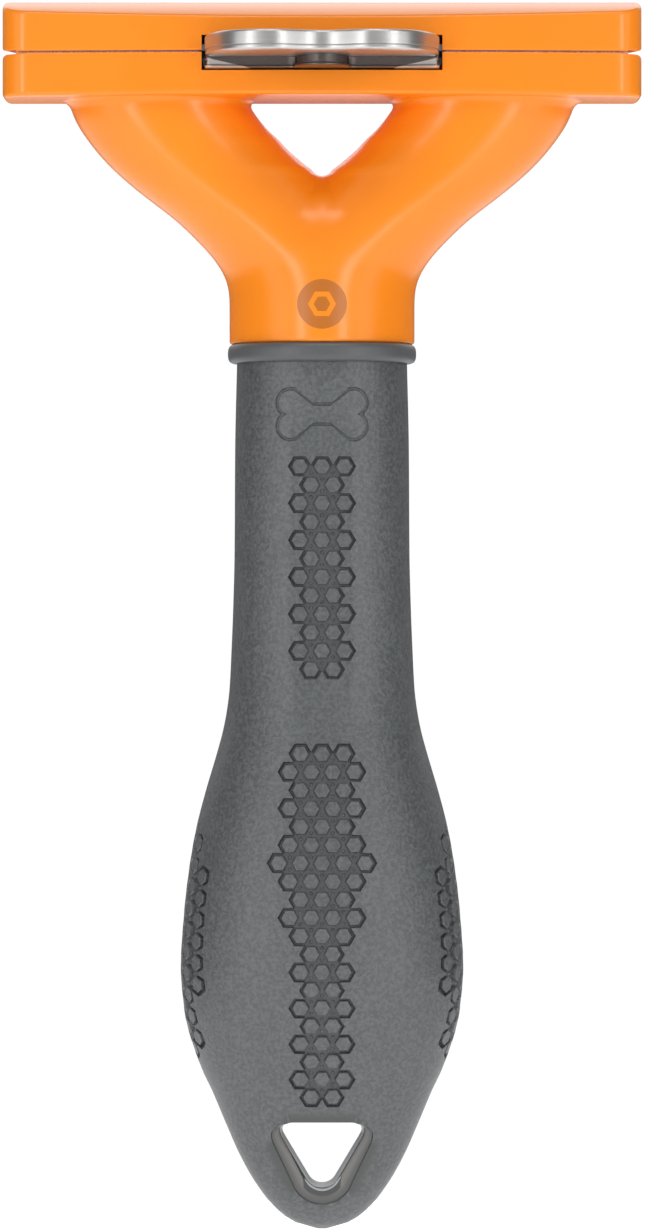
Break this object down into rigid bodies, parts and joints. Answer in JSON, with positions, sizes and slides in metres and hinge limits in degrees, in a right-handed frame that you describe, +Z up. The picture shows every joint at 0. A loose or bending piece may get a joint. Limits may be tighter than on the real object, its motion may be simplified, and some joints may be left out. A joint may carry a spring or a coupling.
{
  "type": "pet deshedding tool",
  "caption": "Handheld pet deshedding tool: comb blade in a split head on a forked neck, sprung thumb button that pushes hair off the teeth, and a swelled soft grip with a hang hole.",
  "frame": {"origin": "under the tail's tip, in the middle of the whole part's width and depth", "axes": "+Z up the handle towards the head, thumb button facing -Y, comb teeth pointing to +Y, X along the head"},
  "size_m": [0.08, 0.043, 0.1544],
  "materials": {
    "orange_shell": "satin moulded",
    "blade_steel": "ground",
    "screw_steel": "plated",
    "spring_steel": "drawn wire",
    "button_metal": "satin chrome",
    "core_plastic": "moulded",
    "grip_rubber": "fine texture",
    "collar_rubber": "smooth",
    "eyelet_plastic": "moulded"
  },
  "bodies": {
    "handle_and_head": {"head_upper_shell": "orange_shell", "head_lower_shell": "orange_shell", "comb_blade": "blade_steel", "blade_screws": "screw_steel", "return_spring_left": "spring_steel", "return_spring_right": "spring_steel", "spring_rod_left": "screw_steel", "spring_rod_right": "screw_steel", "stop_pin_left": "screw_steel", "stop_pin_right": "screw_steel", "head_screws": "screw_steel", "neck_screws": "screw_steel", "handle_core": "core_plastic", "grip_sleeve": "grip_rubber", "collar_ring": "collar_rubber", "hang_eyelet": "eyelet_plastic"},
    "ejector": {"ejector_plate": "blade_steel", "button_carrier": "button_metal", "thumb_pad": "button_metal", "carrier_screws": "screw_steel"}
  },
  "joints": [
    {"name": "ejector_slide", "type": "slide", "parent": "handle_and_head", "child": "ejector", "axis": [0, 1, 0], "range_m": [0, 0.008], "stiffness_N_per_m": 250, "springref_m": -0.002, "deforming": ["return_spring_left", "return_spring_right"]}
  ]
}
